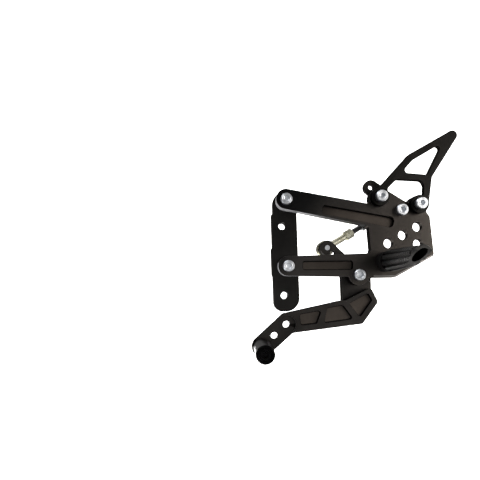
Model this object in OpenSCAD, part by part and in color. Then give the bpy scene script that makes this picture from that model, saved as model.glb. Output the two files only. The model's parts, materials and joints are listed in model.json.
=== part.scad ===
// Gear-side rear set of a sport motorcycle: an A-shaped footrest bracket on a
// frame plate, with heel guard, toothed footrest, shift lever and linkage rod.
// X points to the rear of the motorcycle, Z up, and the rider's foot is on the
// -Y side. The origin lies midway between the two frame bolts, on the face
// that meets the motorcycle frame.

/* [Frame plate] */
// Thickness of the frame plate
plate_t = 10; // [8:0.5:14]
// Distance between the two frame bolts
frame_pitch = 82; // [78:0.5:86]
// Bore for each frame bolt
frame_bore = 8.6; // [6.4:0.1:10.5]
// Distance from the frame bolts to the rear edge of the plate
plate_rear = 17.7; // [15:0.1:20]
// Distance from the frame bolts to the front edge of the plate
plate_front = 12.3; // [10:0.1:15]
// How far the lower pad stands out at the front edge
pad_step = 1.4; // [0.5:0.1:3]
// Length of plate beyond the lower frame bolt
plate_tail = 18.8; // [14:0.2:24]

/* [Bracket] */
// Thickness of the bracket
bracket_t = 9; // [8:0.5:12]
// Thickness left where the back of the web is milled out
web_t = 6; // [4:0.5:7]
// Corner radius of the two arm ends
arm_end_r = 10.8; // [8:0.1:11]
// Depth of the milled pockets in the arms
arm_pocket = 3; // [1:0.25:4]
// Bore of the spare footrest holes
spare_bore = 11; // [8.5:0.1:12]
// Distance between neighbouring footrest holes in a row
spare_pitch = 19.1; // [17:0.1:20]
// Radius of the bracket round each guard bolt
ear_r = 10.8; // [9.5:0.1:12]
// Width of the sloped band along the lower edge
band_w = 3.4; // [1:0.1:5]
// Depth of the sloped band along the lower edge
band_d = 2.2; // [0.5:0.1:3]

/* [Bolts] */
// Thread diameter of the main bolts
bolt_d = 8; // [6:0.5:8]
// Diameter of their low heads
head_d = 13; // [11:0.5:15]
// Height of their low heads
head_h = 4.6; // [3.5:0.1:6]
// Hexagon socket of the arm and guard bolts, across flats
socket_af = 5; // [4:0.5:6]
// Hexagon socket of the pivot and tab bolts, across flats
wide_socket_af = 6; // [5:0.5:8]
// Radial clearance of a bolt in a plain hole
bolt_gap = 0.25; // [0.1:0.05:0.5]
// Radial clearance between mating threads
thread_gap = 0.05; // [0.02:0.01:0.1]

/* [Heel guard] */
// Thickness of the heel guard
guard_t = 5; // [3:0.5:7]
// Radius of the guard round its bolts
guard_boss_r = 10.4; // [9:0.1:11]
// Radius of the upper tip
tip_r = 5.6; // [4:0.1:6]

/* [Accessory tab] */
// Thickness of the tab
tab_t = 3.5; // [2:0.25:4]
// Radius of the free end of the tab
tab_r = 8.7; // [8:0.1:9.5]
// Bore at the free end of the tab
tab_bore = 5.6; // [4:0.1:7]
// Thickness of the nut behind the tab
tab_nut_t = 4; // [3:0.25:4.5]

/* [Footrest] */
// Length of the footrest
peg_len = 75; // [64:1:90]
// Radius over the ridges at the bracket
peg_root_r = 12; // [10.5:0.1:13]
// Radius over the ridges at the outer end
peg_r = 9.3; // [8.5:0.1:10.4]
// Number of ridges round the footrest
peg_ridges = 10; // [8:1:14]
// Depth of the grooves between the ridges
ridge_h = 2.2; // [1:0.1:2.5]
// Length of the plain collar at the bracket
collar_len = 12; // [3:0.5:16]
// Length of the smooth outer end
end_len = 9; // [6:1:16]
// Spacing of the cross cuts that make the teeth
tooth_pitch = 3.6; // [2.6:0.1:5]
// Number of cross cuts
tooth_cuts = 5; // [3:1:9]
// Bore of the hollow outer end
peg_hollow = 11; // [8:0.25:12.5]
// Depth of the hollow outer end
peg_hollow_len = 26; // [15:1:30]
// Slope of the ground-clearance cut
peg_bevel = 60; // [45:1:65]
// Height above the axis at which the cut leaves the outer end
bevel_top = 4; // [2:0.5:6]
// Thread engagement of the footrest bolt
peg_thread = 18; // [12:1:22]

/* [Shift lever] */
// Thickness of the lever hub and of the linkage arm
hub_t = 8; // [6:0.5:8]
// Radius of the lever hub
hub_r = 17.6; // [15:0.1:18]
// Side play of the hub on its sleeve
side_play = 0.3; // [0.2:0.05:0.6]
// Thickness of the pedal arm
pedal_t = 7.5; // [6:0.25:8]
// Gap between the pedal arm and the frame plate behind it
pedal_gap = 1; // [0.5:0.1:1.2]
// Depth of the milled pockets in the pedal arm
pedal_pocket = 3; // [1:0.25:4]
// How far the toe end is cut back
toe_step = 1.5; // [0.5:0.1:2]
// Half width of the toe end
toe_r = 12; // [10.5:0.1:13]
// Distance between the toe peg holes
toe_pitch = 19; // [17:0.1:21]
// Centre distance from the pivot to the rod bolt
link_len = 46.9; // [42:0.1:50]
// Distance between the two rod bolt holes
link_pitch = 8.8; // [8:0.1:12]
// Radius of the linkage arm's end
link_r = 8.6; // [7.5:0.1:10]

/* [Pivot] */
// Outer diameter of the pivot sleeve
sleeve_d = 12; // [10:0.1:13]
// Outer diameter of the bushing in the hub
bushing_d = 16; // [14.5:0.1:18]
// Radial running clearance of the bushing on the sleeve
run_gap = 0.05; // [0.02:0.01:0.08]
// Thickness of the washer behind the hub
washer_t = 1.6; // [1:0.1:2.5]
// Outer diameter of the washers
washer_d = 18; // [16:0.5:22]
// Thickness of the pivot nut
pivot_nut_t = 5; // [4:0.5:8]
// Width of the nuts across flats
nut_af = 13; // [12:0.5:15]

/* [Toe peg] */
// Length of the toe peg
toe_len = 48; // [40:1:55]
// Diameter of the toe peg
toe_d = 20; // [18:0.5:22]
// Diameter of the toe peg bolt's head
toe_head_d = 13; // [11:0.5:14]
// Height of the toe peg bolt's head
toe_head_h = 6; // [4:0.5:8]
// Depth of the recess for the toe peg bolt's head
toe_recess = 8; // [8:0.5:14]

/* [Linkage rod] */
// Centre distance between the two rod ends
rod_span = 90; // [86:1:94]
// Diameter of the rod
rod_d = 6.4; // [5.5:0.1:7]
// Thread diameter of the rod's ends and of the rod bolt
rod_thread = 6; // [5:0.5:6]
// Outer radius of the rod end's eye
eye_r = 10; // [9:0.25:11]
// Width of the rod end's eye
eye_w = 6.8; // [5:0.2:8]
// Diameter of the ball
ball_d = 12.7; // [11:0.1:13.5]
// Width of the ball
ball_w = 9; // [8.5:0.1:10]
// Radial clearance of the ball in its eye
ball_gap = 0.08; // [0.04:0.02:0.15]
// Diameter of the round shank
shank_d = 8; // [7.6:0.1:9]
// Length of rod left bare between the lock nuts
rod_bare = 12; // [8:1:20]
// Length of the shank's hexagon
shank_hex_len = 6; // [4:0.5:8]
// Width of the rod's hexagons across flats
rod_hex_af = 10; // [9.5:0.25:12]
// Thickness of the lock nuts
lock_nut_t = 4; // [3:0.5:5]

/* [Hidden] */
$fn = 64;
arc_step = 7.5;
black = [0.16, 0.15, 0.145];
zinc = [0.80, 0.82, 0.85];
gold_zinc = [0.72, 0.70, 0.58];
bronze = [0.66, 0.50, 0.28];
steel = [0.62, 0.63, 0.65];

// Depths along Y: the frame face is at 0 and outward is negative
bracket_back = -plate_t;
bracket_front = bracket_back - bracket_t;
guard_front = bracket_front - guard_t;
tab_back = bracket_back + tab_t;
hub_front = bracket_back + side_play;
hub_back = hub_front + hub_t;
sleeve_back = hub_back + side_play;
pedal_back = bracket_back - pedal_gap;
pedal_front = pedal_back - pedal_t;
toe_front = pedal_front + toe_step;

// Bolt centres in the X-Z plane
frame_holes = [[0, frame_pitch / 2], [0, -frame_pitch / 2]];
arm_holes = [[4.5, 69.4], [4.5, -7.2]];
guard_holes = [[111.2, 67.7], [155.5, 57.9]];
tab_hole = [136.2, 52.5];
tab_eye = [106, 82.7];
pivot = [85.3, -20.2];
peg_at = [116.5, -6];
spare_start = [120.3, 15];
spare_angle = 27.7;
spare_drop = 19.6;
toe_start = [0, -74.3];
toe_angle = 221;
toe_at = along(toe_start, toe_angle, 2 * toe_pitch);
link_angle = 133.9;
rod_at = along(pivot, link_angle, link_len);
rod_angle = 29.5;

// Rod end depths: the ball sits against the back of the linkage arm
ball_y = hub_back + ball_w / 2;
// Distance from the eye to the end of the rod end's hexagon
shank_len = (rod_span - rod_bare) / 2 - lock_nut_t;

function along(p, angle, d) = p + d * [cos(angle), sin(angle)];
function unit(v) = v / norm(v);
function xy(p) = [p[0], p[1]];
// Points of the arc that rounds corner b between a and c, radius b[2]
function corner(a, b, c) =
    b[2] == 0 ? [xy(b)] :
    let(
        u = unit(xy(a) - xy(b)),
        v = unit(xy(c) - xy(b)),
        half = acos(u * v) / 2,
        centre = xy(b) + unit(u + v) * b[2] / sin(half),
        start = xy(b) + u * b[2] / tan(half) - centre,
        turn = (u[0] * v[1] - u[1] * v[0] > 0 ? -1 : 1) * (180 - 2 * half),
        steps = max(2, ceil(abs(turn) / arc_step))
    )
    [for (i = [0:steps])
        let(a1 = turn * i / steps)
        centre + [start[0] * cos(a1) - start[1] * sin(a1),
                  start[0] * sin(a1) + start[1] * cos(a1)]];
// A closed outline from corners given as x, z and rounding radius
function rounded(p) = [
    for (i = [0:len(p) - 1])
        each corner(p[(i + len(p) - 1) % len(p)], p[i], p[(i + 1) % len(p)])
];

// A profile drawn in X-Z, extruded from y_front back to y_back
module slab(y_front, y_back) {
    translate([0, y_back, 0])
        rotate([90, 0, 0])
            linear_extrude(y_back - y_front)
                children();
}
// A round bar along Y at a point of the X-Z plane
module bar(p, d, y_front, y_back) {
    translate([p[0], y_back, p[1]])
        rotate([90, 0, 0])
            cylinder(h = y_back - y_front, d = d);
}
module hex_bar(p, af, y_front, y_back) {
    translate([p[0], y_back, p[1]])
        rotate([90, 0, 0])
            rotate(30)
                cylinder(h = y_back - y_front, d = af / cos(30), $fn = 6);
}
module disc(p, r) {
    translate(p)
        circle(r);
}
// Low socket-head bolt whose head sits on y_seat, outward, and whose shank
// reaches back to y_tip
module low_bolt(p, y_seat, y_tip, af) {
    head_edge = 0.7;
    socket_depth = 2.8;
    difference() {
        union() {
            translate([p[0], y_seat, p[1]])
                rotate([90, 0, 0])
                    rotate_extrude()
                        polygon([
                            [0, 0], [head_d / 2, 0],
                            [head_d / 2, head_h - head_edge],
                            [head_d / 2 - head_edge, head_h], [0, head_h]
                        ]);
            bar(p, bolt_d, y_seat, y_tip);
        }
        hex_bar(p, af, y_seat - head_h - 1, y_seat - head_h + socket_depth);
    }
}

module mount_plate() {
    top_r = 12;
    top = arm_holes[0][1] + 11;
    bottom = -frame_pitch / 2 - plate_tail;
    pad_top = arm_holes[1][1] + 23;
    pad_bottom = arm_holes[1][1] - 11;
    lower_front = plate_front + 0.4;
    upper_front = plate_front - 2;
    upper_step = arm_holes[0][1] - 13.4;
    color(black)
        difference() {
            slab(bracket_back, 0)
                polygon(rounded([
                    [-upper_front, top, top_r + 1],
                    [plate_rear, top, top_r],
                    [plate_rear, bottom, 15.5],
                    [-lower_front, bottom, 10],
                    [-lower_front, pad_bottom, 0.5],
                    [-plate_front - pad_step, pad_bottom + pad_step, 1],
                    [-plate_front - pad_step, pad_top - pad_step, 1],
                    [-plate_front, pad_top, 0.5],
                    [-plate_front, upper_step - 1, 0.5],
                    [-upper_front, upper_step, 0.5]
                ]));
            for (p = frame_holes)
                bar(p, frame_bore, bracket_back - 1, 1);
            for (p = arm_holes)
                bar(p, bolt_d + 2 * thread_gap, bracket_back - 1, 1);
        }
}

function spare_holes() = concat(
    [for (i = [0:2]) along(spare_start, spare_angle, i * spare_pitch)],
    [along(spare_start, spare_angle, 2 * spare_pitch) - [0, spare_drop]]
);

module bracket_body() {
    up = arm_holes[0];
    low = arm_holes[1];
    reach = arm_end_r + 0.7;
    ahead = unit([107.3, -22.6]);
    across = [-ahead[1], ahead[0]];
    polygon(rounded([
        concat(up - reach * ahead + (reach + 0.9) * across, [arm_end_r]),
        [103, 60.6, 2],
        [105.5, 75.6, 0],
        [118.6, 77.4, 0],
        [139.2, 63.7, 0],
        [146.6, 59.4, 0],
        [151.4, 65.4, 0],
        [160.4, 66.2, 0],
        [165, 55, 0],
        [165.4, 49, 2],
        [168.8, 44, 3],
        [172.3, -1.3, 5],
        [127.3, -24.6, 5],
        [pivot[0] + 10, -23.9, 0],
        [pivot[0] - 13, -21.6, 0],
        concat(low + [-reach, 0.8 - reach], [arm_end_r]),
        concat(low + [-reach, reach], [arm_end_r]),
        [100.4, 4.4, 4.5],
        [98.6, 36.1, 4.5],
        concat(up - reach * ahead - (reach - 1) * across, [arm_end_r])
    ]));
}

module bracket() {
    color(black)
        difference() {
            union() {
                slab(bracket_front, bracket_back)
                    bracket_body();
                slab(bracket_front, bracket_back)
                    disc(pivot, 11.8);
                for (p = concat(guard_holes, [tab_hole]))
                    slab(bracket_front, bracket_back)
                        disc(p, ear_r);
            }
            // Pocket along the upper arm
            slab(bracket_front - 1, bracket_front + arm_pocket)
                polygon(rounded([
                    [46.5, 62, 3],
                    [128.6, 44.4, 4.5],
                    [126, 32.4, 4.5],
                    [44.8, 51.7, 3]
                ]));
            // Pocket along the lower arm
            slab(bracket_front - 1, bracket_front + arm_pocket)
                polygon(rounded([
                    [20.8, -1.8, 3],
                    [79, -3.2, 3],
                    [78.6, -14, 3],
                    [20.6, -12.3, 3]
                ]));
            // Relief milled into the back of the web
            slab(bracket_front + web_t, bracket_back + 1)
                polygon(rounded([
                    [106, 32, 5],
                    [122, 29, 5],
                    [146, 42, 5],
                    [162, 41, 5],
                    [165.8, 3, 5],
                    [127, -16.5, 5],
                    [106, -15.5, 5]
                ]));
            lower_band();
            for (p = spare_holes())
                bar(p, spare_bore, bracket_front - 1, bracket_back + 1);
            for (p = arm_holes)
                bar(p, bolt_d + 2 * bolt_gap, bracket_front - 1, bracket_back + 1);
            for (p = [pivot, tab_hole, peg_at])
                bar(p, bolt_d + 2 * bolt_gap, bracket_front - 1, bracket_back + 1);
            for (p = guard_holes)
                bar(p, bolt_d + 2 * thread_gap, bracket_front - 1, bracket_back + 1);
        }
}

// Sloped band cut along the lower edge and the diagonal of the web
module lower_band() {
    low_start = [103, -24.1];
    low_end = [127.6, -24.7];
    diagonal_end = [170.6, -2.8];
    for (line = [[low_start, low_end], [low_end, diagonal_end]])
        let(
            run = line[1] - line[0],
            angle = atan2(run[1], run[0])
        )
        translate([line[0][0], bracket_front, line[0][1]])
            rotate([0, -angle, 0])
                translate([-1, 0, 0])
                    rotate([90, 0, 90])
                        linear_extrude(norm(run) + 2)
                            polygon([
                                [band_d, -6], [band_d, 0], [-0.5, band_w],
                                [-2, band_w], [-2, -6]
                            ]);
}

module arm_bolts() {
    color(zinc)
        for (p = arm_holes)
            low_bolt(p, bracket_front, -1.5, socket_af);
}

module heel_guard() {
    color(black)
        difference() {
            union() {
                slab(guard_front, bracket_front)
                    difference() {
                        polygon(rounded([
                            [211.6, 149.6, tip_r],
                            [170, 87.8, 8],
                            [165.6, 57.9, 0],
                            [103.6, 72, 0],
                            [143.7, 114, 8]
                        ]));
                        polygon(rounded([
                            [149.4, 108.3, 5],
                            [183.8, 127, 3],
                            [164.6, 90.8, 3],
                            [135.8, 94.2, 3.5]
                        ]));
                        polygon(rounded([
                            [130, 86.5, 4],
                            [158.2, 84, 5],
                            [160.4, 78, 4],
                            [158, 40, 0],
                            [119, 40, 0],
                            [119.6, 76.8, 4]
                        ]));
                    }
                for (p = guard_holes)
                    slab(guard_front, bracket_front)
                        disc(p, guard_boss_r);
            }
            for (p = guard_holes)
                bar(p, bolt_d + 2 * bolt_gap, guard_front - 1, bracket_front + 1);
        }
}

module guard_bolts() {
    color(zinc)
        for (p = guard_holes)
            low_bolt(p, guard_front, bracket_back - 0.5, socket_af);
}

module accessory_tab() {
    color(black)
        difference() {
            union() {
                slab(bracket_back, tab_back)
                    polygon([
                        tab_eye + [4.7, 7.2], [118.4, 84.6], [121.4, 74],
                        tab_hole + [6.7, 8.2], tab_hole + [-6.9, -8.1],
                        [112, 64], [104.6, 72.2], tab_eye + [-7.4, -4.5]
                    ]);
                slab(bracket_back, tab_back)
                    disc(tab_eye, tab_r);
                slab(bracket_back, tab_back)
                    disc(tab_hole, ear_r - 0.3);
            }
            bar(tab_eye, tab_bore, bracket_back - 1, tab_back + 1);
            bar(tab_hole, bolt_d + 2 * bolt_gap, bracket_back - 1, tab_back + 1);
        }
}

module tab_bolt() {
    color(zinc)
        low_bolt(tab_hole, bracket_front, tab_back + tab_nut_t + 0.4, wide_socket_af);
}

module nut(p, y_front, y_back, d, af) {
    color(zinc)
        difference() {
            hex_bar(p, af, y_front, y_back);
            bar(p, d + 2 * thread_gap, y_front - 1, y_back + 1);
        }
}

module tab_nut() {
    nut(tab_hole, tab_back, tab_back + tab_nut_t, bolt_d, nut_af);
}

module footpeg() {
    neck = 3;
    barrel_end = peg_len - end_len;
    core_r = peg_r - ridge_h - 0.4;
    color(black)
        translate([peg_at[0], bracket_front, peg_at[1]])
            rotate([90, 0, 0])
                difference() {
                    union() {
                        cylinder(h = collar_len, r = peg_root_r - 0.5);
                        cylinder(h = barrel_end, r = core_r);
                        translate([0, 0, collar_len + neck])
                            toothed_barrel(barrel_end - collar_len - neck);
                        translate([0, 0, barrel_end])
                            rotate_extrude()
                                polygon([
                                    [0, -1], [core_r, -1], [peg_r - 0.6, 3],
                                    [peg_r - 0.3, end_len - 1],
                                    [peg_r - 1.3, end_len], [0, end_len]
                                ]);
                    }
                    // Thread for the bolt, and the hollow outer end
                    translate([0, 0, -1])
                        cylinder(h = peg_thread + 4, d = bolt_d + 2 * thread_gap);
                    translate([0, 0, peg_len - peg_hollow_len])
                        cylinder(h = peg_hollow_len + 1, d = peg_hollow);
                    // Ground-clearance cut across the lower outer edge
                    translate([0, bevel_top, peg_len])
                        rotate([peg_bevel, 0, 0])
                            translate([-20, -60, 0])
                                cube([40, 100, 40]);
                }
}

// Tapered barrel with ridges, cut across into teeth over its outer part
module toothed_barrel(length) {
    fall = peg_root_r - peg_r;
    taper = atan2(fall, length);
    groove_foot = 0.6;
    groove_side = 2.2;
    cut_depth = 1.6;
    difference() {
        rotate_extrude()
            polygon([[0, 0], [peg_root_r, 0], [peg_r, length], [0, length]]);
        for (i = [0:peg_ridges - 1])
            rotate([0, 0, i * 360 / peg_ridges])
                translate([peg_root_r, 0, 0])
                    rotate([0, -taper, 0])
                        translate([0, 0, -3])
                            linear_extrude(length + 6)
                                polygon([
                                    [-ridge_h, -groove_foot], [1, -groove_side],
                                    [1, groove_side], [-ridge_h, groove_foot]
                                ]);
        for (i = [0:tooth_cuts - 1])
            let(
                z = length - 2.4 - i * tooth_pitch,
                r = peg_root_r - fall * z / length
            )
            translate([0, 0, z])
                rotate_extrude()
                    polygon([
                        [r - cut_depth, 0], [r + 1, -1.5], [r + 1, 1.5]
                    ]);
    }
}

module footpeg_bolt() {
    web_back = bracket_front + web_t;
    seat = web_back + washer_t;
    color(zinc)
        mirror([0, 1, 0])
            low_bolt(peg_at, -seat, -(bracket_front - peg_thread), wide_socket_af);
}

module washer(p, y_front, y_back, bore, d) {
    color(zinc)
        difference() {
            bar(p, d, y_front, y_back);
            bar(p, bore, y_front - 1, y_back + 1);
        }
}

module footpeg_washer() {
    web_back = bracket_front + web_t;
    washer(peg_at, web_back, web_back + washer_t, bolt_d + 2 * bolt_gap, washer_d - 2);
}

// Outline of the pedal arm from the step at the hub to the toe
module pedal_outline() {
    far_end = along(toe_at, toe_angle, toe_r);
    side = toe_r * [cos(toe_angle - 90), sin(toe_angle - 90)];
    polygon(rounded([
        [98.6, -35.2, 3],
        [106.5, -51.9, 4],
        [87.8, -76.5, 4],
        [7.5, -84.4, 7],
        concat(far_end - side, [toe_r - 0.3]),
        concat(far_end + side, [toe_r - 0.3]),
        [-3.6, -61.6, 6],
        [64, -48.8, 2],
        [68.8, -49.3, 0]
    ]));
}

// The thick block that joins the pedal arm to the hub behind it
module joint_outline() {
    polygon([
        [97.6, -36.8], [103.8, -50.8], [97, -61.4], [60.5, -67.5],
        [60.5, -50.8], [69.6, -50.6]
    ]);
}

// Outline of the web that hangs from the hub down to that block
module hub_web() {
    inset = 0.4;
    polygon([
        pivot + [inset - hub_r, -2], pivot + [hub_r - inset, -2],
        [pivot[0] + hub_r - inset, -39], [96.4, -43],
        [pivot[0] + inset - hub_r, -55]
    ]);
}

// Outline of the linkage arm, from the hub to its round end
module link_outline() {
    ahead = [cos(link_angle), sin(link_angle)];
    side = link_r * [-ahead[1], ahead[0]];
    tip = rod_at + link_r * ahead;
    polygon(rounded([
        concat(pivot - side, [0]),
        concat(tip - side, [link_r - 0.3]),
        concat(tip + side, [link_r - 0.3]),
        concat(pivot + side, [0])
    ]));
}

module shift_lever() {
    second = along(pivot, link_angle, link_len - link_pitch);
    color(black)
        difference() {
            union() {
                slab(pedal_front, pedal_back)
                    pedal_outline();
                slab(pedal_back - 1, hub_back)
                    joint_outline();
                slab(hub_front, hub_back)
                    disc(pivot, hub_r);
                slab(hub_front, hub_back)
                    hub_web();
                slab(hub_front, hub_back)
                    link_outline();
            }
            // Three milled pockets
            slab(pedal_front - 1, pedal_front + pedal_pocket) {
                polygon(rounded([
                    [95.2, -41, 2.5], [99.9, -49.6, 2.5],
                    [85, -69.3, 2.5], [72.6, -52.6, 2]
                ]));
                polygon(rounded([
                    [47.6, -56.5, 3], [65.8, -53.9, 3],
                    [77.6, -70.7, 2.5], [43, -74.4, 2.5]
                ]));
                polygon(rounded([
                    [15, -62.7, 3], [41.3, -59, 2.5],
                    [35.2, -74.4, 2.5], [16.3, -76.2, 3]
                ]));
            }
            // Toe end cut back round the three holes
            slab(pedal_front - 1, toe_front)
                disc(toe_start, toe_r - 1);
            slab(pedal_front - 1, toe_front)
                polygon([
                    along(toe_start, toe_angle - 90, 30),
                    along(toe_start, toe_angle + 90, 11),
                    along(toe_start, toe_angle + 90, 30),
                    along(toe_start, toe_angle + 90, 30) + [-60, -52],
                    along(toe_start, toe_angle - 90, 30) + [-60, -52]
                ]);
            for (i = [0:2])
                bar(along(toe_start, toe_angle, i * toe_pitch), bolt_d + 2 * thread_gap,
                    pedal_front - 1, pedal_back + 1);
            bar(pivot, bushing_d, hub_front - 1, hub_back + 1);
            bar(rod_at, rod_thread + 2 * thread_gap, hub_front - 1, hub_back + 1);
            bar(second, rod_thread + 2 * thread_gap, hub_front - 1, hub_back + 1);
        }
}

module lever_bushing() {
    color(bronze)
        difference() {
            bar(pivot, bushing_d, hub_front, hub_back);
            bar(pivot, sleeve_d + 2 * run_gap, hub_front - 1, hub_back + 1);
        }
}

module pivot_sleeve() {
    color(steel)
        difference() {
            bar(pivot, sleeve_d, bracket_back, sleeve_back);
            bar(pivot, bolt_d + 2 * bolt_gap, bracket_back - 1, sleeve_back + 1);
        }
}

module pivot_bolt() {
    color(zinc)
        low_bolt(pivot, bracket_front, sleeve_back + washer_t + pivot_nut_t + 0.6, wide_socket_af);
}

module pivot_washer() {
    washer(pivot, sleeve_back, sleeve_back + washer_t, bolt_d + 2 * bolt_gap, washer_d);
}

module pivot_nut() {
    start = sleeve_back + washer_t;
    nut(pivot, start, start + pivot_nut_t, bolt_d, nut_af);
}

module toe_peg() {
    tip = toe_front - toe_len;
    edge = 1;
    color(black)
        difference() {
            translate([toe_at[0], toe_front, toe_at[1]])
                rotate([90, 0, 0])
                    rotate_extrude()
                        polygon([
                            [0, 0], [toe_d / 2 - edge, 0], [toe_d / 2, edge],
                            [toe_d / 2, toe_len - 1.5 * edge],
                            [toe_d / 2 - edge, toe_len], [0, toe_len]
                        ]);
            bar(toe_at, bolt_d + 2 * bolt_gap, tip - 1, toe_front + 1);
            bar(toe_at, toe_head_d + 2 * bolt_gap, tip - 1, tip + toe_recess);
        }
}

module toe_peg_bolt() {
    tip = toe_front - toe_len;
    seat = tip + toe_recess;
    color(steel)
        difference() {
            union() {
                bar(toe_at, toe_head_d, seat - toe_head_h, seat);
                bar(toe_at, bolt_d, seat, pedal_back - 0.3);
            }
            hex_bar(toe_at, wide_socket_af, seat - toe_head_h - 1, seat - toe_head_h / 2);
        }
}

module rod_bolt() {
    back = ball_y + ball_w / 2 + washer_t;
    cap_h = 4;
    color(zinc)
        difference() {
            union() {
                bar(rod_at, rod_thread, hub_front + 0.2, back);
                bar(rod_at, 10, back, back + cap_h);
            }
            hex_bar(rod_at, 4, back + cap_h - 2.5, back + cap_h + 1);
        }
}

module rod_bolt_washer() {
    back = ball_y + ball_w / 2;
    washer(rod_at, back, back + washer_t, rod_thread + 2 * bolt_gap, 12);
}

// Ball of a rod end, bored along Y
module rod_ball(p) {
    color(steel)
        translate([p[0], ball_y, p[1]])
            rotate([90, 0, 0])
                rotate_extrude()
                    intersection() {
                        circle(d = ball_d);
                        translate([rod_thread / 2 + thread_gap, -ball_w / 2])
                            square([ball_d, ball_w]);
                    }
}

// Eye, round shank and hexagon of a rod end, pointing along +X
module rod_eye() {
    color(gold_zinc)
        difference() {
            union() {
                rotate([90, 0, 0])
                    rotate_extrude()
                        difference() {
                            translate([0, -eye_w / 2])
                                square([eye_r, eye_w]);
                            circle(d = ball_d + 2 * ball_gap);
                        }
                translate([eye_r - 2, 0, 0])
                    rotate([0, 90, 0])
                        cylinder(h = shank_len - eye_r + 1, d = shank_d);
                translate([shank_len - shank_hex_len, 0, 0])
                    rotate([0, 90, 0])
                        cylinder(h = shank_hex_len, d = rod_hex_af / cos(30), $fn = 6);
            }
            translate([shank_len - 14, 0, 0])
                rotate([0, 90, 0])
                    cylinder(h = 15, d = rod_thread + 2 * thread_gap);
        }
}

// Places a piece of the rod assembly, with +X along the rod
module on_rod() {
    translate([rod_at[0], ball_y, rod_at[1]])
        rotate([0, -rod_angle, 0])
            children();
}

module rod_end() {
    on_rod()
        rod_eye();
}

module rod_end_ball() {
    rod_ball(rod_at);
}

module far_rod_end() {
    on_rod()
        translate([rod_span, 0, 0])
            rotate([0, 180, 0])
                rod_eye();
}

module far_rod_end_ball() {
    rod_ball(along(rod_at, rod_angle, rod_span));
}

module lock_nut(x) {
    color(gold_zinc)
        on_rod()
            translate([x, 0, 0])
                rotate([0, 90, 0])
                    difference() {
                        cylinder(h = lock_nut_t, d = rod_hex_af / cos(30), $fn = 6);
                        translate([0, 0, -1])
                            cylinder(h = lock_nut_t + 2, d = rod_thread + 2 * thread_gap);
                    }
}

module rod_lock_nut() {
    lock_nut(shank_len);
}

module far_lock_nut() {
    lock_nut(rod_span - shank_len - lock_nut_t);
}

module shift_rod() {
    start = shank_len - 12;
    plain = shank_len + lock_nut_t;
    color(black)
        on_rod()
            rotate([0, 90, 0]) {
                translate([0, 0, start])
                    cylinder(h = rod_span - 2 * start, d = rod_thread);
                translate([0, 0, plain])
                    cylinder(h = rod_span - 2 * plain, d = rod_d);
            }
}

mount_plate();
bracket();
arm_bolts();
heel_guard();
guard_bolts();
accessory_tab();
tab_bolt();
tab_nut();
footpeg();
footpeg_bolt();
footpeg_washer();
shift_lever();
lever_bushing();
pivot_sleeve();
pivot_bolt();
pivot_washer();
pivot_nut();
toe_peg();
toe_peg_bolt();
rod_bolt();
rod_bolt_washer();
rod_end();
rod_end_ball();
rod_lock_nut();
shift_rod();
far_lock_nut();
far_rod_end();
far_rod_end_ball();
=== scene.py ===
# %% [markdown]
# # Rear set footrest of a motorcycle, gear side
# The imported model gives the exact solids. This script only dresses them: it
# breaks the sharp edges as a machinist would, models the screw heads and the
# chamfers of the nuts, and gives every surface the finish of the real part.

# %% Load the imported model
import json
import math

import bpy
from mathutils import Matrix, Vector
from mathutils.geometry import intersect_point_line


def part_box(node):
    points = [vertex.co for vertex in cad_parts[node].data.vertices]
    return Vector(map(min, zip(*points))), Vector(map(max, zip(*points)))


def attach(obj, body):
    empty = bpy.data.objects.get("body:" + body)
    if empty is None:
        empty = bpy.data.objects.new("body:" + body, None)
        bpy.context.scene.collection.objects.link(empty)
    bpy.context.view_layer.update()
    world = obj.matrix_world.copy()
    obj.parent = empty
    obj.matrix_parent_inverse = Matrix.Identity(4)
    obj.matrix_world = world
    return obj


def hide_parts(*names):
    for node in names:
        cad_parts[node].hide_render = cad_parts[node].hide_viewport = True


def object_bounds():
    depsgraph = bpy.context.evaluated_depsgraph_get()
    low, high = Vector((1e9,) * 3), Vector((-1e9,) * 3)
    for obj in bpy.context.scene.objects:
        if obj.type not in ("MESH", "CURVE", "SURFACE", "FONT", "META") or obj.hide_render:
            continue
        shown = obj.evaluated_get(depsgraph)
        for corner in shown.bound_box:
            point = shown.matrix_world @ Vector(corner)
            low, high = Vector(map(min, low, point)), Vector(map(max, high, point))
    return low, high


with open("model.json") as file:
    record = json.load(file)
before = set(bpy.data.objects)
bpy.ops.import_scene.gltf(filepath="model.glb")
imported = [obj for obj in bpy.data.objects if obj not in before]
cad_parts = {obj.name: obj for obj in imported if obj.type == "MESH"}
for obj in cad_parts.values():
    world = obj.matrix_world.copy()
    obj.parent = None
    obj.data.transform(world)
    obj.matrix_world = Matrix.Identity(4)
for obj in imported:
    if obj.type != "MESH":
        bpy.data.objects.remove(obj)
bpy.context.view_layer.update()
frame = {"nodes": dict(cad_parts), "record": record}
MM = 0.001

# %% [markdown]
# ## Camera
# The photograph looks straight at the face of the bracket from close by, with
# the part to the right of the lens axis. A wide lens with a small upward shift
# gives the same perspective, and turning the camera by two degrees gives the
# same lean. A turned camera is simpler than turning the whole part.

# %% Set the camera
bpy.ops.object.camera_add(
    location=(-52.1 * MM, -379 * MM, -33.7 * MM),
    rotation=(math.radians(90), math.radians(2), 0),
)
camera = bpy.context.object
camera.name = "camera"
camera.data.sensor_width = 36
camera.data.lens = 23.5
camera.data.shift_y = 0.106
camera.data.clip_start = 0.01
camera.data.clip_end = 20
bpy.context.scene.camera = camera
print("camera lens", camera.data.lens)

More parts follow.
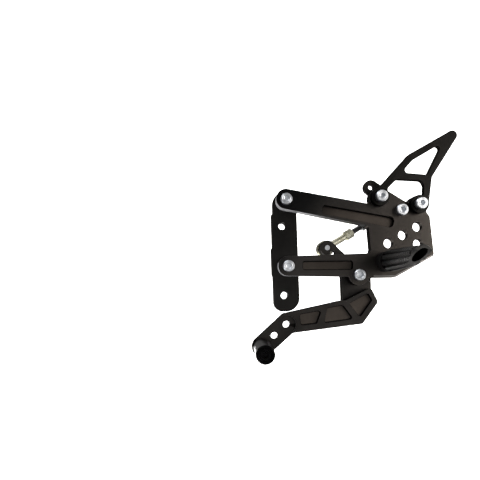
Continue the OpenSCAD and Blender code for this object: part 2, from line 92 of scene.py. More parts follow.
# %% [markdown]
# ## Floor and light
# The photograph has a bare white ground without a shadow. A floor that curves
# up into a wall behind the part gives that without an edge. It is one strip,
# made by extruding the back edge of a plane step by step round the curve. The
# part hangs well above it, so that no shadow shows. The metal does not mirror
# the strip: a studio does this with black cards beside black objects, which
# would otherwise lose their dark sides against a white ground.

# %% Make the floor with its curved back
FLOOR_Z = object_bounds()[0][2] - 620 * MM
WALL_Y = 1.1
COVE_R = 0.5


def only(obj):
    bpy.ops.object.select_all(action="DESELECT")
    obj.select_set(True)
    bpy.context.view_layer.objects.active = obj


bpy.ops.object.select_all(action="DESELECT")
bpy.ops.mesh.primitive_plane_add(size=1, location=(0, 0, 0))
floor = bpy.context.object
floor.name = "floor"
bpy.ops.object.mode_set(mode="EDIT")
bpy.ops.transform.resize(value=(7, WALL_Y - COVE_R + 3, 1))
bpy.ops.transform.translate(value=(0, (WALL_Y - COVE_R - 3) / 2, FLOOR_Z))
bpy.ops.mesh.select_all(action="DESELECT")
bpy.ops.object.mode_set(mode="OBJECT")
back_y = max(v.co.y for v in floor.data.vertices)
for edge in floor.data.edges:
    ends = [floor.data.vertices[i] for i in edge.vertices]
    edge.select = all(v.co.y > back_y - MM for v in ends)
for v in floor.data.vertices:
    v.select = v.co.y > back_y - MM
bpy.ops.object.mode_set(mode="EDIT")
bpy.ops.mesh.select_mode(type="EDGE")
COVE_STEPS = 16
for i in range(COVE_STEPS):
    a = math.radians(90 * (i + 0.5) / COVE_STEPS)
    run = 2 * COVE_R * math.sin(math.radians(90 / COVE_STEPS / 2))
    bpy.ops.mesh.extrude_region_move(
        TRANSFORM_OT_translate={"value": (0, run * math.cos(a), run * math.sin(a))}
    )
bpy.ops.mesh.extrude_region_move(TRANSFORM_OT_translate={"value": (0, 0, 3)})
bpy.ops.mesh.select_all(action="SELECT")
bpy.ops.mesh.normals_make_consistent(inside=False)
bpy.ops.object.mode_set(mode="OBJECT")
bpy.ops.object.shade_smooth()
floor.visible_glossy = False
print("floor at", round(FLOOR_Z, 4))

# %% [markdown]
# Black anodised metal shows little of its own colour: what we see is what it
# mirrors. A low panel in front fills the lower arm, the lever and the screws,
# and leaves the upper arm dark, as in the photograph. A large warm light to the
# right is mirrored in the web of the bracket. The bracket's colour adds to both:
# painted shade on the upper arm and a painted warm reflection on the web. A
# light low on the left, in the plane of the bracket, draws the bright crescents
# on the ends of the arms without reaching any front face; the crescents are
# also painted pale, as a painted highlight. One low on the right does the same
# for the sloped band under the web, which is painted pale as well, and a box
# above picks out the upper edges. The wide low one behind is for the back of
# the part.

# %% Set the lights


def soft_light(name, place, aim, width, height, power, colour):
    bpy.ops.object.light_add(type="AREA", location=place)
    light = bpy.context.object
    light.name = name
    light.data.shape = "RECTANGLE"
    light.data.size = width
    light.data.size_y = height
    light.data.energy = power
    light.data.color = colour
    way = Vector(aim) - Vector(place)
    light.rotation_euler = way.to_track_quat("-Z", "Y").to_euler()
    return light


middle = (0.1, -0.02, 0.02)
soft_light("key_right", (1.0, -0.50, 0.12), middle, 0.6, 0.8, 34, (1, 0.95, 0.90))
soft_light("top_left", (-0.45, -0.35, 0.9), middle, 0.6, 0.4, 8, (0.97, 0.98, 1))
soft_light("low_left", (-0.75, -0.05, -0.55), (0, -0.015, 0), 0.4, 0.4, 4, (1, 1, 1))
soft_light("front_panel", (-0.05, -1.3, -0.22), middle, 1.4, 0.55, 4.5, (1, 0.99, 0.98))
soft_light("low_right", (0.95, -0.03, -0.50), middle, 0.3, 0.3, 0.8, (1, 0.98, 0.95))
soft_light("back_fill", (-0.35, 0.98, -0.42), middle, 1.0, 0.45, 10, (1, 1, 1))
soft_light("top_box", (0.0, -0.30, 1.2), middle, 1.0, 0.5, 3, (1, 1, 1))
world = bpy.data.worlds.new("studio")
bpy.context.scene.world = world
world.use_nodes = True
room = world.node_tree.nodes["Background"]
room.inputs["Color"].default_value = (1, 0.99, 0.98, 1)
room.inputs["Strength"].default_value = 0.30
bpy.context.scene.view_settings.view_transform = "Standard"

# %% [markdown]
# ## Finishes
# Each finish is a small set of nodes on the principled shader. Object
# coordinates are metres here, so a noise scale of 2500 is a grain of 0.4 mm.
# Noise gives the grain, a colour ramp keeps its contrast low, and a bump node
# turns it into relief. The helpers below keep each finish to a few lines.

# %% Helpers for the finishes


def new_finish(name, metallic, roughness, colour=(0.5, 0.5, 0.5)):
    finish = bpy.data.materials.new(name)
    finish.use_nodes = True
    shader = finish.node_tree.nodes["Principled BSDF"]
    shader.inputs["Metallic"].default_value = metallic
    shader.inputs["Roughness"].default_value = roughness
    shader.inputs["Base Color"].default_value = (*colour, 1)
    finish.diffuse_color = (*colour, 1)
    return finish


def add_node(finish, kind, **values):
    node = finish.node_tree.nodes.new(kind)
    for key, value in values.items():
        if hasattr(node, key):
            setattr(node, key, value)
        else:
            node.inputs[key.replace("_", " ").title()].default_value = value
    return node


def place_input(finish, node, stretch=(1, 1, 1)):
    coords = add_node(finish, "ShaderNodeTexCoord")
    mapping = add_node(finish, "ShaderNodeMapping")
    mapping.inputs["Scale"].default_value = stretch
    links = finish.node_tree.links
    links.new(coords.outputs["Object"], mapping.inputs["Vector"])
    links.new(mapping.outputs["Vector"], node.inputs["Vector"])


def noise(finish, scale, detail=3, stretch=(1, 1, 1)):
    node = add_node(finish, "ShaderNodeTexNoise", scale=scale, detail=detail)
    place_input(finish, node, stretch)
    return node.outputs["Fac"]


def ramp(finish, value, stops):
    node = add_node(finish, "ShaderNodeValToRGB")
    element = node.color_ramp.elements
    element[0].position, element[0].color = stops[0][0], (*stops[0][1], 1)
    element[1].position, element[1].color = stops[-1][0], (*stops[-1][1], 1)
    for place, colour in stops[1:-1]:
        element.new(place).color = (*colour, 1)
    finish.node_tree.links.new(value, node.inputs["Fac"])
    return node.outputs["Color"]


def spread(finish, value, low, high):
    node = add_node(finish, "ShaderNodeMapRange")
    node.inputs["From Min"].default_value = 0.3
    node.inputs["From Max"].default_value = 0.7
    node.inputs["To Min"].default_value = low
    node.inputs["To Max"].default_value = high
    finish.node_tree.links.new(value, node.inputs["Value"])
    return node.outputs["Result"]


def use(finish, socket, value):
    shader = finish.node_tree.nodes["Principled BSDF"]
    finish.node_tree.links.new(value, shader.inputs[socket])


def relief(finish, value, depth, before=None):
    node = add_node(finish, "ShaderNodeBump")
    node.inputs["Strength"].default_value = 1
    node.inputs["Distance"].default_value = depth
    finish.node_tree.links.new(value, node.inputs["Height"])
    if before is not None:
        finish.node_tree.links.new(before, node.inputs["Normal"])
    use(finish, "Normal", node.outputs["Normal"])
    return node.outputs["Normal"]


def lines(finish, pitch, axis, distortion):
    # a wave texture of scale 1 has a band every 0.314 units
    node = add_node(finish, "ShaderNodeTexWave", bands_direction=axis, detail=2)
    node.inputs["Scale"].default_value = 0.314 / pitch
    node.inputs["Distortion"].default_value = distortion
    place_input(finish, node)
    return node.outputs["Fac"]


print("helpers ready")

# %% [markdown]
# ### Black anodised plate
# Milled aluminium is blasted with fine beads, then anodised. It is a dark,
# satin, slightly warm grey with a fine grain. The dye takes unevenly, so the
# colour drifts a little over a few centimetres.

# %% Make the anodised plate finishes
CLOUDS = 38
BLAST_GRAIN = 2600
BLAST_DEPTH = 0.012 * MM


def anodised(name, dark, pale, rough, rim=0.45):
    # rim darkens the mirror image at a grazing angle
    finish = new_finish(name, 1.0, rough, dark)
    use(finish, "Base Color", ramp(finish, noise(finish, CLOUDS), [(0.35, dark), (0.7, pale)]))
    use(finish, "Roughness", spread(finish, noise(finish, 420, 4), rough - 0.05, rough + 0.06))
    relief(finish, noise(finish, BLAST_GRAIN, 2), BLAST_DEPTH)
    shader = finish.node_tree.nodes["Principled BSDF"]
    shader.inputs["Specular Tint"].default_value = (rim, rim, rim, 1)
    return finish


plate_black = anodised("anodised_plate", (0.0125, 0.0118, 0.0112), (0.020, 0.0185, 0.0172), 0.45)
# paler finish for broken edges: partly wear, partly painted highlight
edge_black = anodised("anodised_edge", (0.075, 0.073, 0.070), (0.125, 0.120, 0.115), 0.36)
deep_black = anodised("anodised_deep", (0.0085, 0.0083, 0.0080), (0.0135, 0.0130, 0.0125), 0.42)
guard_black = anodised("anodised_guard", (0.0050, 0.0048, 0.0046), (0.0085, 0.0082, 0.0078), 0.42)
# pale finish for the sloped band under the web: a painted highlight
band_highlight = anodised("painted_band_highlight", (0.20, 0.19, 0.18), (0.28, 0.265, 0.25), 0.40)
# near black for pocket walls, fillets, floor rims and mouth bands: painted shade
painted_shade_black = anodised(
    "painted_shade_wall", (0.0030, 0.0028, 0.0026), (0.0050, 0.0047, 0.0045), 0.55, rim=0.1)

# %% [markdown]
# On the bracket light and shade are painted into the colour: the upper arm is
# painted nearly blue-black at its free end, as painted shade, and the web a
# warmer, paler grey, as a painted reflection of the warm light. The colour
# follows X minus a part of Z, multiplied by the same cloudy noise as on the
# other pieces. The pocket floors get the same painted light and shade, so the
# helper takes the finish and its tones.

# %% Make the painted light and shade of the bracket
PAINTED_LIGHT_FROM = -50 * MM
PAINTED_LIGHT_TO = 110 * MM


def paint_light_ramp(finish, stops, slant):
    links = finish.node_tree.links
    spot = add_node(finish, "ShaderNodeTexCoord")
    parts = add_node(finish, "ShaderNodeSeparateXYZ")
    links.new(spot.outputs["Object"], parts.inputs["Vector"])
    lean = add_node(finish, "ShaderNodeMath", operation="MULTIPLY_ADD")
    links.new(parts.outputs["Z"], lean.inputs[0])
    lean.inputs[1].default_value = slant
    links.new(parts.outputs["X"], lean.inputs[2])
    span = add_node(finish, "ShaderNodeMapRange")
    span.inputs["From Min"].default_value = PAINTED_LIGHT_FROM
    span.inputs["From Max"].default_value = PAINTED_LIGHT_TO
    links.new(lean.outputs["Value"], span.inputs["Value"])
    tone = ramp(finish, span.outputs["Result"], stops)
    cloud = ramp(finish, noise(finish, CLOUDS), [(0.35, (0.8, 0.8, 0.8)), (0.7, (1, 1, 1))])
    mixed = add_node(finish, "ShaderNodeMixRGB", blend_type="MULTIPLY")
    mixed.inputs["Fac"].default_value = 1
    links.new(tone, mixed.inputs["Color1"])
    links.new(cloud, mixed.inputs["Color2"])
    use(finish, "Base Color", mixed.outputs["Color"])


# painted light and shade: dark towards the free end of the upper arm, paler and warmer over the
# web
painted_light_black = anodised("anodised_painted_light", (0.012, 0.012, 0.012), (0.02, 0.02, 0.02), 0.36)
paint_light_ramp(painted_light_black, [
    (0.0, (0.0055, 0.0056, 0.0059)), (0.25, (0.0098, 0.0098, 0.0098)),
    (0.45, (0.030, 0.0280, 0.0265)), (1.0, (0.028, 0.0253, 0.0230))], -0.6)
print("the face drifts over", (PAINTED_LIGHT_TO - PAINTED_LIGHT_FROM) / MM, "mm")

# %% [markdown]
# The floor of a milled pocket keeps the marks of the end mill: shallow arcs a
# little over a millimetre apart. A wave texture with some distortion draws
# them, and the floor is a shade paler because it was not polished.

# %% Make the pocket floor finish


def milled_floor(name):
    finish = anodised(name, (0.024, 0.0205, 0.018), (0.036, 0.031, 0.027), 0.46)
    under = relief(finish, noise(finish, BLAST_GRAIN, 2), BLAST_DEPTH)
    relief(finish, lines(finish, 1.3 * MM, "DIAGONAL", 1.5), 0.03 * MM, under)
    return finish


pocket_black = milled_floor("anodised_pocket")
painted_light_floor = milled_floor("anodised_painted_light_floor")
# the bracket's pocket floors carry the same painted light and shade
paint_light_ramp(painted_light_floor, [
    (0.0, (0.006, 0.0055, 0.005)), (0.21, (0.0065, 0.006, 0.0055)),
    (0.45, (0.036, 0.031, 0.027)), (1.0, (0.023, 0.0198, 0.0173))], -0.9)
print("pocket finishes", pocket_black.name, painted_light_floor.name)

# %% [markdown]
# The photograph shows a pale grey crescent on the side of both arm ends, which
# fades along the underside of the upper arm. The faces there that look down and
# to the left are painted pale grey: a painted highlight. The colour follows the
# X coordinate: pale up to the screw, black forty millimetres further on.

# %% Make the painted highlight of the arm ends
side_highlight = new_finish("painted_side_highlight", 0.3, 0.5, (0.3, 0.3, 0.31))
place = add_node(side_highlight, "ShaderNodeTexCoord")
along = add_node(side_highlight, "ShaderNodeSeparateXYZ")
side_highlight.node_tree.links.new(place.outputs["Object"], along.inputs["Vector"])
fade = add_node(side_highlight, "ShaderNodeMapRange")
fade.inputs["From Min"].default_value = 4 * MM
fade.inputs["From Max"].default_value = 50 * MM
side_highlight.node_tree.links.new(along.outputs["X"], fade.inputs["Value"])
use(side_highlight, "Base Color", ramp(side_highlight, fade.outputs["Result"], [
    (0.0, (0.30, 0.30, 0.31)), (0.3, (0.12, 0.12, 0.125)), (1.0, (0.012, 0.011, 0.011))]))
relief(side_highlight, noise(side_highlight, 1800, 3, (1, 6, 1)), 0.006 * MM)

# %% [markdown]
# ### Turned bar
# The two pegs are turned on a lathe, so their surface has very fine rings
# across the axis. The rings are bands along Y, under the same black coat. The
# footrest's colour follows Y from the root to the end: near black at the root,
# where the bracket's shade is painted in, paler grey over the outer half, and
# darker again at the very end.

# %% Make the turned finish
turned_black = anodised(
    "anodised_turned", (0.017, 0.0165, 0.016), (0.026, 0.0255, 0.025), 0.42, rim=1.0)
coat = turned_black.node_tree.nodes["Principled BSDF"]
coat.inputs["Metallic"].default_value = 0.45
coat.inputs["Specular IOR Level"].default_value = 0.1
PEG_ROOT_Y = -20 * MM
PEG_END_Y = -94 * MM
peg_spot = add_node(turned_black, "ShaderNodeTexCoord")
peg_parts = add_node(turned_black, "ShaderNodeSeparateXYZ")
turned_black.node_tree.links.new(peg_spot.outputs["Object"], peg_parts.inputs["Vector"])
outward = add_node(turned_black, "ShaderNodeMapRange")
outward.inputs["From Min"].default_value = PEG_ROOT_Y
outward.inputs["From Max"].default_value = PEG_END_Y
turned_black.node_tree.links.new(peg_parts.outputs["Y"], outward.inputs["Value"])
# near black root: painted shade from the bracket; paler outer half, darker end
use(turned_black, "Base Color", ramp(turned_black, outward.outputs["Result"], [
    (0.0, (0.004, 0.004, 0.004)), (0.3, (0.011, 0.011, 0.0105)), (0.65, (0.034, 0.033, 0.032)),
    (0.86, (0.036, 0.035, 0.034)), (1.0, (0.014, 0.0135, 0.013))]))
turned_grain = relief(turned_black, noise(turned_black, 2600, 2), 0.008 * MM)
relief(turned_black, lines(turned_black, 0.45 * MM, "Y", 0.3), 0.015 * MM, turned_grain)
toe_black = anodised(
    "anodised_toe_peg", (0.0012, 0.0012, 0.0012), (0.0022, 0.0022, 0.0022), 0.34, rim=1.0)
print("turned finishes", turned_black.name, toe_black.name)

# %% [markdown]
# ### Plated steel
# The screws are bright zinc, bluish silver and a little cloudy. The rod ends
# are zinc with a thin yellow layer, so their colour wanders between grey and
# straw. The balls are ground steel and the bushing is bearing bronze.

# %% Make the metal finishes


def plated(name, dark, pale, rough, cloud=260, rim=1.0):
    finish = new_finish(name, 1.0, rough, pale)
    shader = finish.node_tree.nodes["Principled BSDF"]
    shader.inputs["Specular Tint"].default_value = (rim, rim, rim, 1)
    use(finish, "Base Color", ramp(finish, noise(finish, cloud, 4), [(0.35, dark), (0.65, pale)]))
    use(finish, "Roughness", spread(finish, noise(finish, 900, 3), rough - 0.06, rough + 0.08))
    relief(finish, noise(finish, 3200, 2), 0.0012 * MM)
    return finish


zinc = plated("bright_zinc", (0.31, 0.325, 0.345), (0.43, 0.445, 0.465), 0.36)
pale_zinc = plated("pale_zinc", (0.60, 0.58, 0.43), (0.84, 0.82, 0.67), 0.27, 140, rim=0.1)
# much darker zinc for the broken edges of the rod ends: painted shade
rod_end_edge_shade = plated("pale_zinc_painted_edge_shade", (0.16, 0.15, 0.10), (0.28, 0.27, 0.20), 0.40, 140, rim=0.1)
# brighter zinc for the inside of the sockets: painted light
socket_painted_light = plated("socket_painted_light", (0.46, 0.48, 0.51), (0.62, 0.645, 0.68), 0.42)
ground = plated("ground_steel", (0.55, 0.56, 0.58), (0.66, 0.67, 0.69), 0.16, 400)
bronze = plated("bearing_bronze", (0.42, 0.27, 0.11), (0.55, 0.38, 0.18), 0.38)
relief(ground, lines(ground, 0.3 * MM, "Y", 0.2), 0.003 * MM)

# %% [markdown]
# ### Black steel
# The screw in the toe peg has a thin black oxide, and the rod a black paint
# with a faint orange peel.

# %% Make the black steel finishes
oxide = plated("black_oxide", (0.0015, 0.0015, 0.0015), (0.0035, 0.0035, 0.0037), 0.34)
painted = new_finish("black_rod", 0.0, 0.32, (0.012, 0.012, 0.013))
use(painted, "Base Color", ramp(
    painted, noise(painted, 200), [(0.4, (0.010, 0.010, 0.011)), (0.7, (0.020, 0.019, 0.019))]))
use(painted, "Roughness", spread(painted, noise(painted, 500), 0.26, 0.40))
relief(painted, noise(painted, 900, 2), 0.012 * MM)
painted.node_tree.nodes["Principled BSDF"].inputs["Coat Weight"].default_value = 0.2
ground_white = new_finish("floor_white", 0.0, 0.85, (0.9, 0.9, 0.9))
glow = ground_white.node_tree.nodes["Principled BSDF"]
glow.inputs["Emission Color"].default_value = (1, 1, 1, 1)
glow.inputs["Emission Strength"].default_value = 0.95
use(ground_white, "Base Color", ramp(
    ground_white, noise(ground_white, 3), [(0.3, (0.89, 0.89, 0.89)), (0.7, (0.92, 0.92, 0.92))]))
floor.data.materials.append(ground_white)
print("finishes", len(bpy.data.materials))

# %% [markdown]
# ## Machined pieces
# A solid from CAD has perfectly sharp edges, and no real edge is sharp: each
# is broken by about half a millimetre, and that narrow band is what catches
# the light. A copy of the node's mesh is merged into clean faces, its sharp
# edges get a small bevel, and the copy stands for the node. The band gets a
# finish of its own, paler than the faces: partly wear where handling has
# polished it, partly a painted highlight.

# %% Helper that copies a node and breaks its edges
BODY_OF = {
    node: body
    for body, nodes in frame["record"]["behaviour"]["bodies"].items()
    for node in nodes
}


def break_edges(obj, width, segments=2, angle=28, band=1):
    only(obj)
    bevel = obj.modifiers.new("broken_edge", "BEVEL")
    bevel.width = width
    bevel.segments = segments
    bevel.limit_method = "ANGLE"
    bevel.angle_limit = math.radians(angle)
    bevel.material = band
    bpy.ops.object.modifier_apply(modifier=bevel.name)
    keep_flat(obj)


def keep_flat(obj):
    # rounds the bands only: the large faces keep their flat shading
    only(obj)
    bpy.ops.object.shade_smooth_by_angle(angle=math.radians(32))
    flat = obj.modifiers.new("flat_faces", "WEIGHTED_NORMAL")
    flat.keep_sharp = True
    flat.weight = 80
    bpy.ops.object.modifier_apply(modifier=flat.name)


def copy_node(node, *finishes):
    mesh = frame["nodes"][node].data.copy()
    piece = bpy.data.objects.new("dressed_" + node, mesh)
    bpy.context.scene.collection.objects.link(piece)
    mesh.materials.clear()
    for finish in finishes:
        mesh.materials.append(finish)
    only(piece)
    bpy.ops.object.mode_set(mode="EDIT")
    bpy.ops.mesh.select_all(action="SELECT")
    bpy.ops.mesh.remove_doubles(threshold=0.002 * MM)
    bpy.ops.mesh.dissolve_limited(angle_limit=math.radians(0.6))
    bpy.ops.object.mode_set(mode="OBJECT")
    mesh.polygons.foreach_set("material_index", [0] * len(mesh.polygons))
    return piece


def hand_over(piece, node):
    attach(piece, BODY_OF[node])
    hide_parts(node)


def dressed(node, width, *finishes, segments=2):
    piece = copy_node(node, *finishes)
    break_edges(piece, width, segments, band=min(1, len(finishes) - 1))
    hand_over(piece, node)
    print(node, "faces", len(piece.data.polygons))
    return piece


print("bodies of", len(BODY_OF), "nodes known")

# %% [markdown]
# ### Finding the pockets
# The pockets are part of the solid, so their faces have to be found by place
# and direction. The floor is the face that lies three millimetres under the
# front, and its border lines tell which of the broken edges run round a mouth.

# %% Helpers that find and finish the pockets
POCKET = 3 * MM
DARK_RIM = 0.9 * MM
MOUTH_BAND = 1.7 * MM
WALL_TOP = 0.95 * MM
LARGEST_WALL = 200 * MM * MM
# the order of the finishes on the milled pieces
FACE, EDGE, FLOOR, WALL, SIDE_HIGHLIGHT, BAND = range(6)


def pick(obj, test):
    # leaves edit mode on, with only the faces selected that pass the test
    if obj.mode == "EDIT":
        bpy.ops.object.mode_set(mode="OBJECT")
    only(obj)
    for part in (obj.data.vertices, obj.data.edges):
        part.foreach_set("select", [False] * len(part))
    for face in obj.data.polygons:
        face.select = bool(test(face))
    bpy.ops.object.mode_set(mode="EDIT")
    bpy.ops.mesh.select_mode(type="FACE")


def outline(obj):
    # the border lines of the selected faces, each as two points in the XZ plane
    bpy.ops.object.mode_set(mode="OBJECT")
    uses = {}
    for face in obj.data.polygons:
        if face.select:
            for key in face.edge_keys:
                uses[key] = uses.get(key, 0) + 1
    points = obj.data.vertices
    rims = [
        tuple(Vector((points[i].co.x, points[i].co.z)) for i in key)
        for key, count in uses.items() if count == 1
    ]
    bpy.ops.object.mode_set(mode="EDIT")
    return rims


def gap_to(rims, point):
    spot = Vector((point.x, point.z))
    gaps = []
    for start, end in rims:
        share = min(1, max(0, intersect_point_line(spot, start, end)[1]))
        gaps.append((spot - start.lerp(end, share)).length)
    return min(gaps)


def finish_pockets(piece, front):
    # walls, fillets, the mouth's band and a narrow rim of the floor are painted near black:
    # painted shade in the pocket
    for face in piece.data.polygons:
        depth = face.center.y - front
        if face.normal.y < -0.95 and abs(depth - POCKET) < 0.05 * MM:
            face.material_index = FLOOR
        elif WALL_TOP < depth < POCKET and face.area < LARGEST_WALL:
            face.material_index = WALL
    pick(piece, lambda face: face.material_index == FLOOR)
    rims = outline(piece)
    bpy.ops.mesh.inset(thickness=DARK_RIM, use_even_offset=True)
    bpy.ops.object.mode_set(mode="OBJECT")
    for face in piece.data.polygons:
        if face.material_index == FLOOR and not face.select:
            face.material_index = WALL
        elif face.material_index == EDGE and gap_to(rims, face.center) < MOUTH_BAND:
            face.material_index = WALL
    keep_flat(piece)


print("pockets are", POCKET / MM, "mm deep")


# %% [markdown]
# ### Plates, bracket, heel guard and lever
# These five are milled from plate. In the bracket and the lever the floors of
# the pockets lie three millimetres under the front face, and get the pocket
# finish. The cutter has rounded corners, so a narrow fillet runs round each
# floor. The fillet, a narrow rim of the floor, the steep walls and the broken
# edge round each mouth are painted near black: painted shade in the pockets.

# %% Dress the milled pieces
FACE_FINISH = {"mount_plate": deep_black, "heel_guard": guard_black, "bracket": painted_light_black}
ARM_END_X = 16 * MM
SIDE_HIGHLIGHT_TO_X = 60 * MM
BAND_FROM_X = 95 * MM
SMALLEST_BAND = 15 * MM * MM
for node, width in {
    "mount_plate": 0.8 * MM,
    "bracket": 0.8 * MM,
    "heel_guard": 0.7 * MM,
    "accessory_tab": 0.5 * MM,
    "shift_lever": 0.7 * MM,
}.items():
    face_finish = FACE_FINISH.get(node, plate_black)
    floor_finish = painted_light_floor if node == "bracket" else pocket_black
    edge_finish = guard_black if node == "heel_guard" else edge_black
    milled = dressed(node, width, face_finish, edge_finish, floor_finish, painted_shade_black)
    if node in ("bracket", "shift_lever"):
        finish_pockets(milled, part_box(node)[0].y)
    if node == "bracket":
        milled.data.materials.append(side_highlight)
        milled.data.materials.append(band_highlight)
        floor_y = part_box(node)[0].y + POCKET
        for face in milled.data.polygons:
            # faces that look down and to the left near the arm ends get the pale finish: a
            # painted highlight
            low_left = face.normal.dot(Vector((-0.75, 0, -0.66))) > 0.45
            side = face.center.y > floor_y
            end = -0.9 < face.normal.y and face.center.x < ARM_END_X
            if low_left and (end or side and face.center.x < SIDE_HIGHLIGHT_TO_X):
                face.material_index = SIDE_HIGHLIGHT
            # the sloped faces under the web get the pale band finish: a painted highlight
            sloped = face.normal.z < -0.06 and -0.998 < face.normal.y < -0.3
            if sloped and face.center.x > BAND_FROM_X and face.area > SMALLEST_BAND:
                face.material_index = BAND

# %% [markdown]
# ### Pegs
# The footrest and the toe peg come off the lathe, so they get the turned
# finish, and only a very small break on the teeth, which have to grip.

# %% Dress the pegs
PEG_AXIS = Vector((116.5 * MM, 0, -6 * MM))
MOUTH = 2
footpeg = dressed("footpeg", 0.2 * MM, turned_black, turned_black, painted_shade_black)
# the inside of the hollow end and the bottom of its bore get the near black finish: painted shade
for face in footpeg.data.polygons:
    off_axis = face.center - PEG_AXIS
    off_axis.y = 0
    inward = face.normal.dot(off_axis) < -0.3 * off_axis.length
    bottom = face.center.y > -80 * MM and off_axis.length < 4 * MM and face.normal.y < -0.5
    if inward or bottom:
        face.material_index = MOUTH
dressed("toe_peg", 0.5 * MM, toe_black, segments=3)

# %% [markdown]
# ### How turned shapes are modelled
# Screws, nuts and cutters are all turned round an axis. A lathe works its way
# along a bar, and so do these helpers: a cylinder is laid along Y, its end face
# is picked, and each step extrudes it a little further and shrinks or widens
# it. A list of radii and advances is then as readable as a turning drawing.

# %% Helpers for modelling by face
ACROSS_Y = (math.radians(90), 0, 0)


def step(along, scale):
    # the picked face moves on along Y and shrinks by scale, leaving a side wall
    bpy.ops.mesh.extrude_region_move(TRANSFORM_OT_translate={"value": (0, along, 0)})
    bpy.ops.transform.resize(value=(scale, 1, scale))


def turned(radius, near, far, sides=72):
    # a cylinder along Y between the depths near and far
    bpy.ops.object.select_all(action="DESELECT")
    bpy.ops.mesh.primitive_cylinder_add(
        vertices=sides, radius=radius, depth=abs(far - near),
        location=(0, (near + far) / 2, 0), rotation=ACROSS_Y,
    )
    bar = bpy.context.object
    bpy.ops.object.transform_apply(location=True, rotation=True, scale=False)
    return bar


def profile(obj, facing, radius, steps):
    # the end face that looks along facing follows the radii and advances of steps
    pick(obj, lambda face: face.normal.y * facing > 0.99)
    for next_radius, along in steps:
        step(along * MM * facing, next_radius * MM / radius)
        radius = next_radius * MM
    bpy.ops.object.mode_set(mode="OBJECT")


def cut(obj, tool, operation="DIFFERENCE"):
    only(obj)
    knife = obj.modifiers.new("cut", "BOOLEAN")
    knife.operation = operation
    knife.solver = "EXACT"
    knife.object = tool
    bpy.ops.object.modifier_apply(modifier=knife.name)
    bpy.data.objects.remove(tool)


print("turning helpers ready")

# %% [markdown]
# ### Low head socket screws
# Seven M8 screws with low, wide heads hold everything. A head is upset and then
# turned: its rim is chamfered, and a fine ring is left round the socket. Here a
# cylinder gets its rim and ring by extruding and shrinking the front face, its
# shank from the back face, and a six-sided cutter punches the socket. A cone
# then gives the socket its lead-in. Its inside is painted a little brighter than
# the head: painted light against the shade in the socket.

# %% Helper that models a screw
HEAD_R = 6.5 * MM
HEAD_H = 4.6 * MM


def low_screw(name, socket, length):
    corner = socket / 2 / math.cos(math.radians(30))
    screw = turned(HEAD_R, 0, -HEAD_H + 0.7 * MM)
    screw.name = name
    profile(screw, -1, HEAD_R, [
        (5.8, 0.7), (4.8, 0.001), (4.6, -0.16), (4.4, 0.001), (4.2, 0.16)])
    profile(screw, 1, HEAD_R, [
        (4.0, 0.001), (3.999, length - 0.8), (3.3, 0.8)])
    key = turned(corner * MM, -HEAD_H - 1 * MM, -HEAD_H + 2.8 * MM, 6)
    cut(screw, key)
    bpy.ops.object.select_all(action="DESELECT")
    bpy.ops.mesh.primitive_cone_add(
        vertices=48, radius1=(corner - 0.35) * MM, radius2=(corner + 0.4) * MM,
        depth=0.5 * MM, location=(0, -HEAD_H + 0.2 * MM, 0), rotation=ACROSS_Y,
    )
    lead_in = bpy.context.object
    bpy.ops.object.transform_apply(location=True, rotation=True, scale=False)
    cut(screw, lead_in)
    screw.data.materials.clear()
    screw.data.materials.append(zinc)
    screw.data.materials.append(socket_painted_light)
    for face in screw.data.polygons:
        centre = face.center
        off_axis = math.hypot(centre.x, centre.z) / MM
        # the socket gets the brighter zinc: painted light
        in_socket = off_axis < corner + 0.1 and -HEAD_H + 0.35 * MM < centre.y < 0
        face.material_index = 1 if in_socket else 0
    return screw


print("head", HEAD_R / MM, "x", HEAD_H / MM, "mm")

# %% [markdown]
# One screw of each kind is modelled at the origin, then copied, put at its
# place and turned to its own angle, because nobody lines up sockets when
# tightening. The footrest's screw comes from behind, so it looks the other way.

# %% Place the seven screws
SCREWS = (
    # node, place of the head's seat, which way the head looks, socket, length, turn
    ("arm_bolts", (4.5, -19, 69.4), -1, 5, 17.5, 17),
    ("arm_bolts", (4.5, -19, -7.2), -1, 5, 17.5, 41),
    ("guard_bolts", (111.2, -24, 67.7), -1, 5, 13.5, 8),
    ("guard_bolts", (155.5, -24, 57.9), -1, 5, 13.5, 33),
    ("tab_bolt", (136.2, -19, 52.5), -1, 6, 16.9, 22),
    ("pivot_bolt", (85.3, -19, -20.2), -1, 6, 24.8, 49),
    ("footpeg_bolt", (116.5, -11.4, -6), 1, 6, 25.6, 12),
)
patterns = {}
for number, (node, place, facing, socket, length, turn) in enumerate(SCREWS):
    if (socket, length) not in patterns:
        pattern = low_screw("pattern_" + str(number), socket, length)
        break_edges(pattern, 0.16 * MM, angle=35, band=-1)
        patterns[socket, length] = pattern
    only(patterns[socket, length])
    bpy.ops.object.duplicate()
    screw = bpy.context.object
    screw.name = "screw_" + str(number)
    screw.rotation_euler = (0, math.radians(turn), math.radians(180 if facing > 0 else 0))
    screw.location = [v * MM for v in place]
    bpy.ops.object.transform_apply(location=True, rotation=True, scale=False)
    hand_over(screw, node)
    print(screw.name, node, "faces", len(screw.data.polygons))
for pattern in patterns.values():
    bpy.data.objects.remove(pattern)

# %% [markdown]
# ### Nuts
# A hexagon nut is chamfered at thirty degrees, so that its corners do not bite
# the washer. The copy of the node is intersected with a barrel whose two ends
# are cones, which leaves the curved edge that every real nut shows.

# %% Model the nuts
ROD_PLACE = (52.78 * MM, 2.8 * MM, 13.594 * MM)
ROD_TURN = math.radians(29.5)


def along_rod(obj):
    # turns a piece that lies along Y so that it lies along the rod
    obj.rotation_euler = (0, 0, math.radians(-90))
    only(obj)
    bpy.ops.object.transform_apply(location=False, rotation=True, scale=False)
    obj.rotation_euler = (0, -ROD_TURN, 0)
    obj.location = ROD_PLACE
    bpy.ops.object.transform_apply(location=True, rotation=True, scale=False)


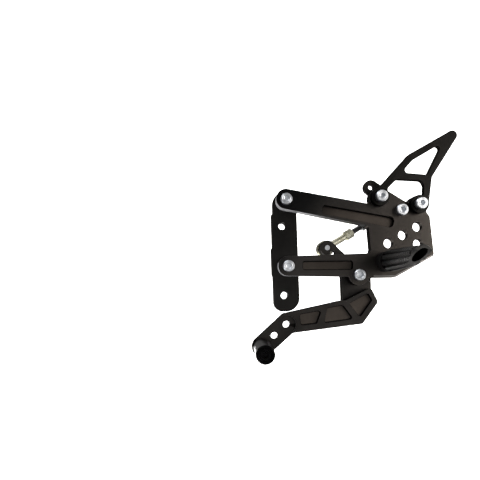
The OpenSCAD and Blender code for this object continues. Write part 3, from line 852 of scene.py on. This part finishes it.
def chamfer_barrel(flats, near, far):
    corner = flats / 2 / math.cos(math.radians(30)) + 0.05
    end = flats / 2 - 0.25
    slope = (corner - end) * math.tan(math.radians(30))
    barrel = turned(corner * MM, (near + slope) * MM, (far - slope) * MM, 60)
    for facing in (-1, 1):
        profile(barrel, facing, corner * MM, [(end, slope)])
    return barrel


# node, and where its two ends lie along the axis, in millimetres
for node, near, far in (("tab_nut", -6.5, -2.5), ("pivot_nut", 0.2, 5.2)):
    nut = copy_node(node, zinc)
    middle_of = (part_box(node)[0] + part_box(node)[1]) / 2
    barrel = chamfer_barrel(13, near, far)
    barrel.location = (middle_of.x, 0, middle_of.z)
    only(barrel)
    bpy.ops.object.transform_apply(location=True, rotation=False, scale=False)
    cut(nut, barrel, "INTERSECT")
    break_edges(nut, 0.12 * MM, band=0)
    hand_over(nut, node)
    print(node, "faces", len(nut.data.polygons))
for node, near, far in (("rod_lock_nut", 35, 39), ("far_lock_nut", 51, 55)):
    nut = copy_node(node, pale_zinc if node == "rod_lock_nut" else painted)
    barrel = chamfer_barrel(10, near, far)
    along_rod(barrel)
    cut(nut, barrel, "INTERSECT")
    break_edges(nut, 0.12 * MM, band=0)
    hand_over(nut, node)
    print(node, "faces", len(nut.data.polygons))

# %% [markdown]
# ### Washers, bushings and rod
# These are simple turned and stamped pieces. They keep the shape of the model
# and get rounded edges and a finish.

# %% Dress the small metal pieces
for node, width, finish in (
    ("footpeg_washer", 0.25 * MM, zinc),
    ("pivot_washer", 0.25 * MM, zinc),
    ("rod_bolt", 0.8 * MM, zinc),
    ("rod_bolt_washer", 0.2 * MM, zinc),
    ("lever_bushing", 0.2 * MM, bronze),
    ("pivot_sleeve", 0.2 * MM, ground),
    ("toe_peg_bolt", 0.4 * MM, oxide),
    ("rod_end_ball", 0.2 * MM, ground),
    ("far_rod_end_ball", 0.2 * MM, ground),
    ("shift_rod", 0.2 * MM, painted),
):
    dressed(node, width, finish)
for node in ("rod_end", "far_rod_end"):
    # the rod ends' broken edges get the darker zinc: painted shade
    dressed(node, 0.4 * MM, pale_zinc, rod_end_edge_shade)
